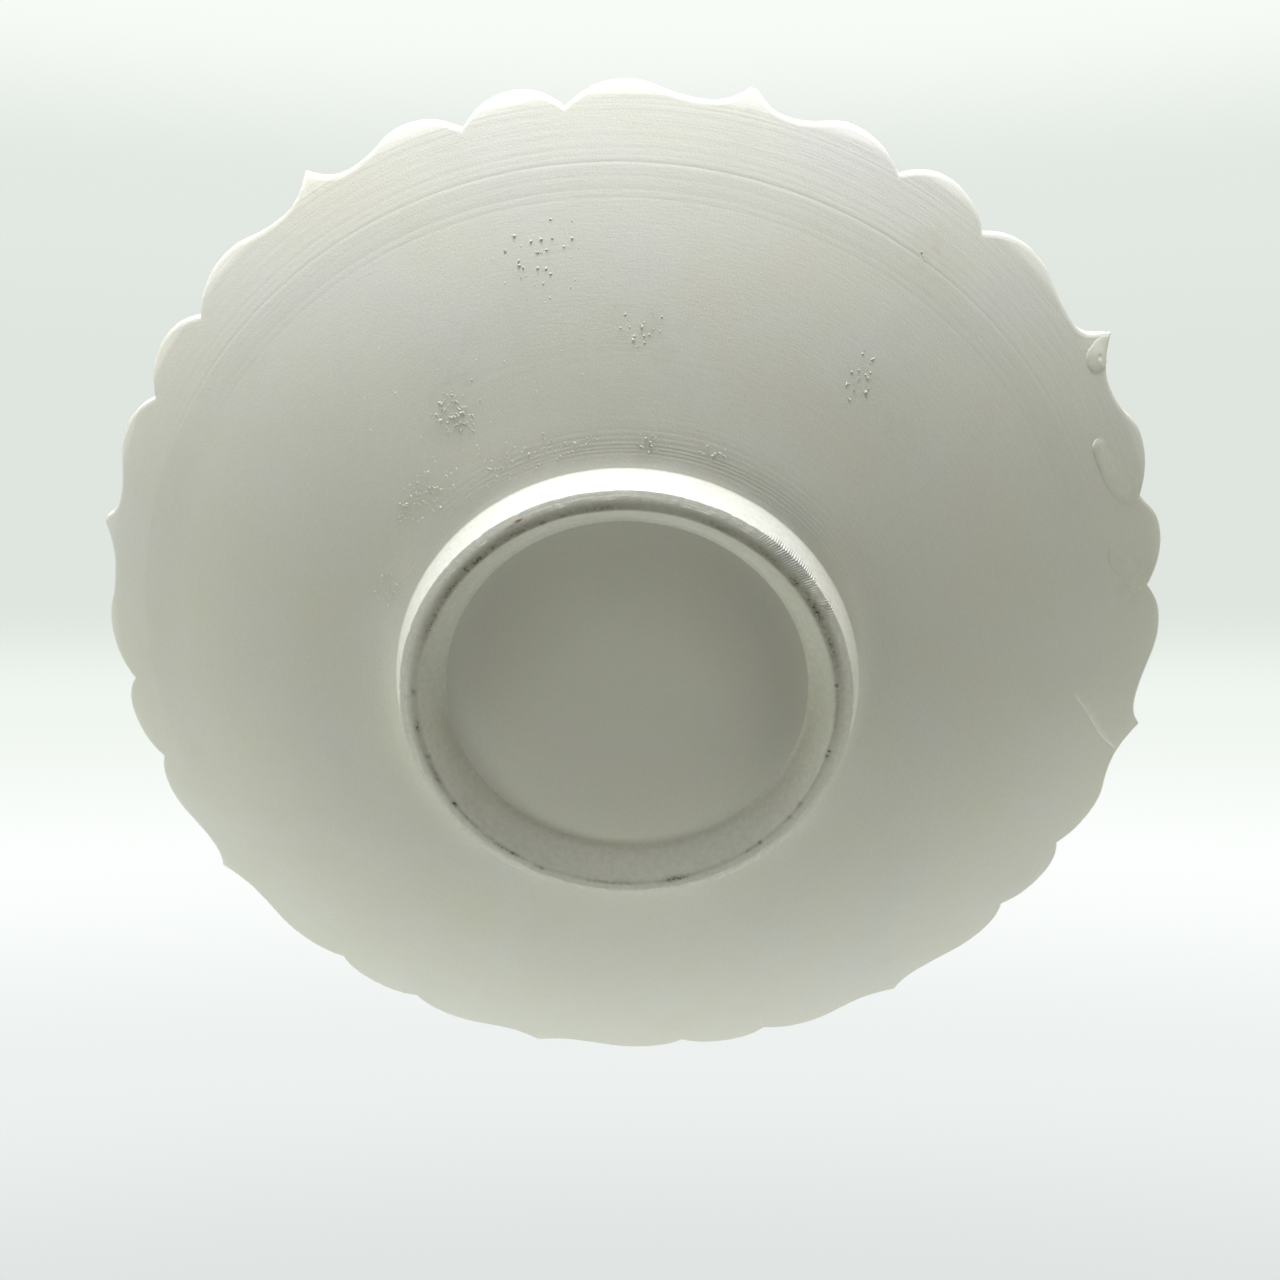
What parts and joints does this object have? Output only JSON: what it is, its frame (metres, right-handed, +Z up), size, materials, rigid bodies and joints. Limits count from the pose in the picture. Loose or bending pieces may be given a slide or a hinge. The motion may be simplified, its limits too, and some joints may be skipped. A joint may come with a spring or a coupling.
{
  "type": "deep plate",
  "caption": "Deep round plate with a scalloped rim of pointed spurs and lobes, standing on a turned foot ring.",
  "frame": {"origin": "centre of the face that the foot ring stands on", "axes": "+Z up along the plate's axis, with spurs of the rim on +X, +Y, -X and -Y"},
  "size_m": [0.33, 0.33, 0.0603],
  "materials": {
    "biscuit": "matt off-white biscuit, lightly grooved by turning",
    "glaze": "smooth white glaze"
  },
  "bodies": {
    "root": {"dish_body": "biscuit", "foot_ring": "biscuit", "glaze_coat": "glaze", "glaze_drip": "glaze", "glaze_run_1": "glaze", "glaze_run_2": "glaze", "glaze_run_3": "glaze"}
  },
  "joints": []
}
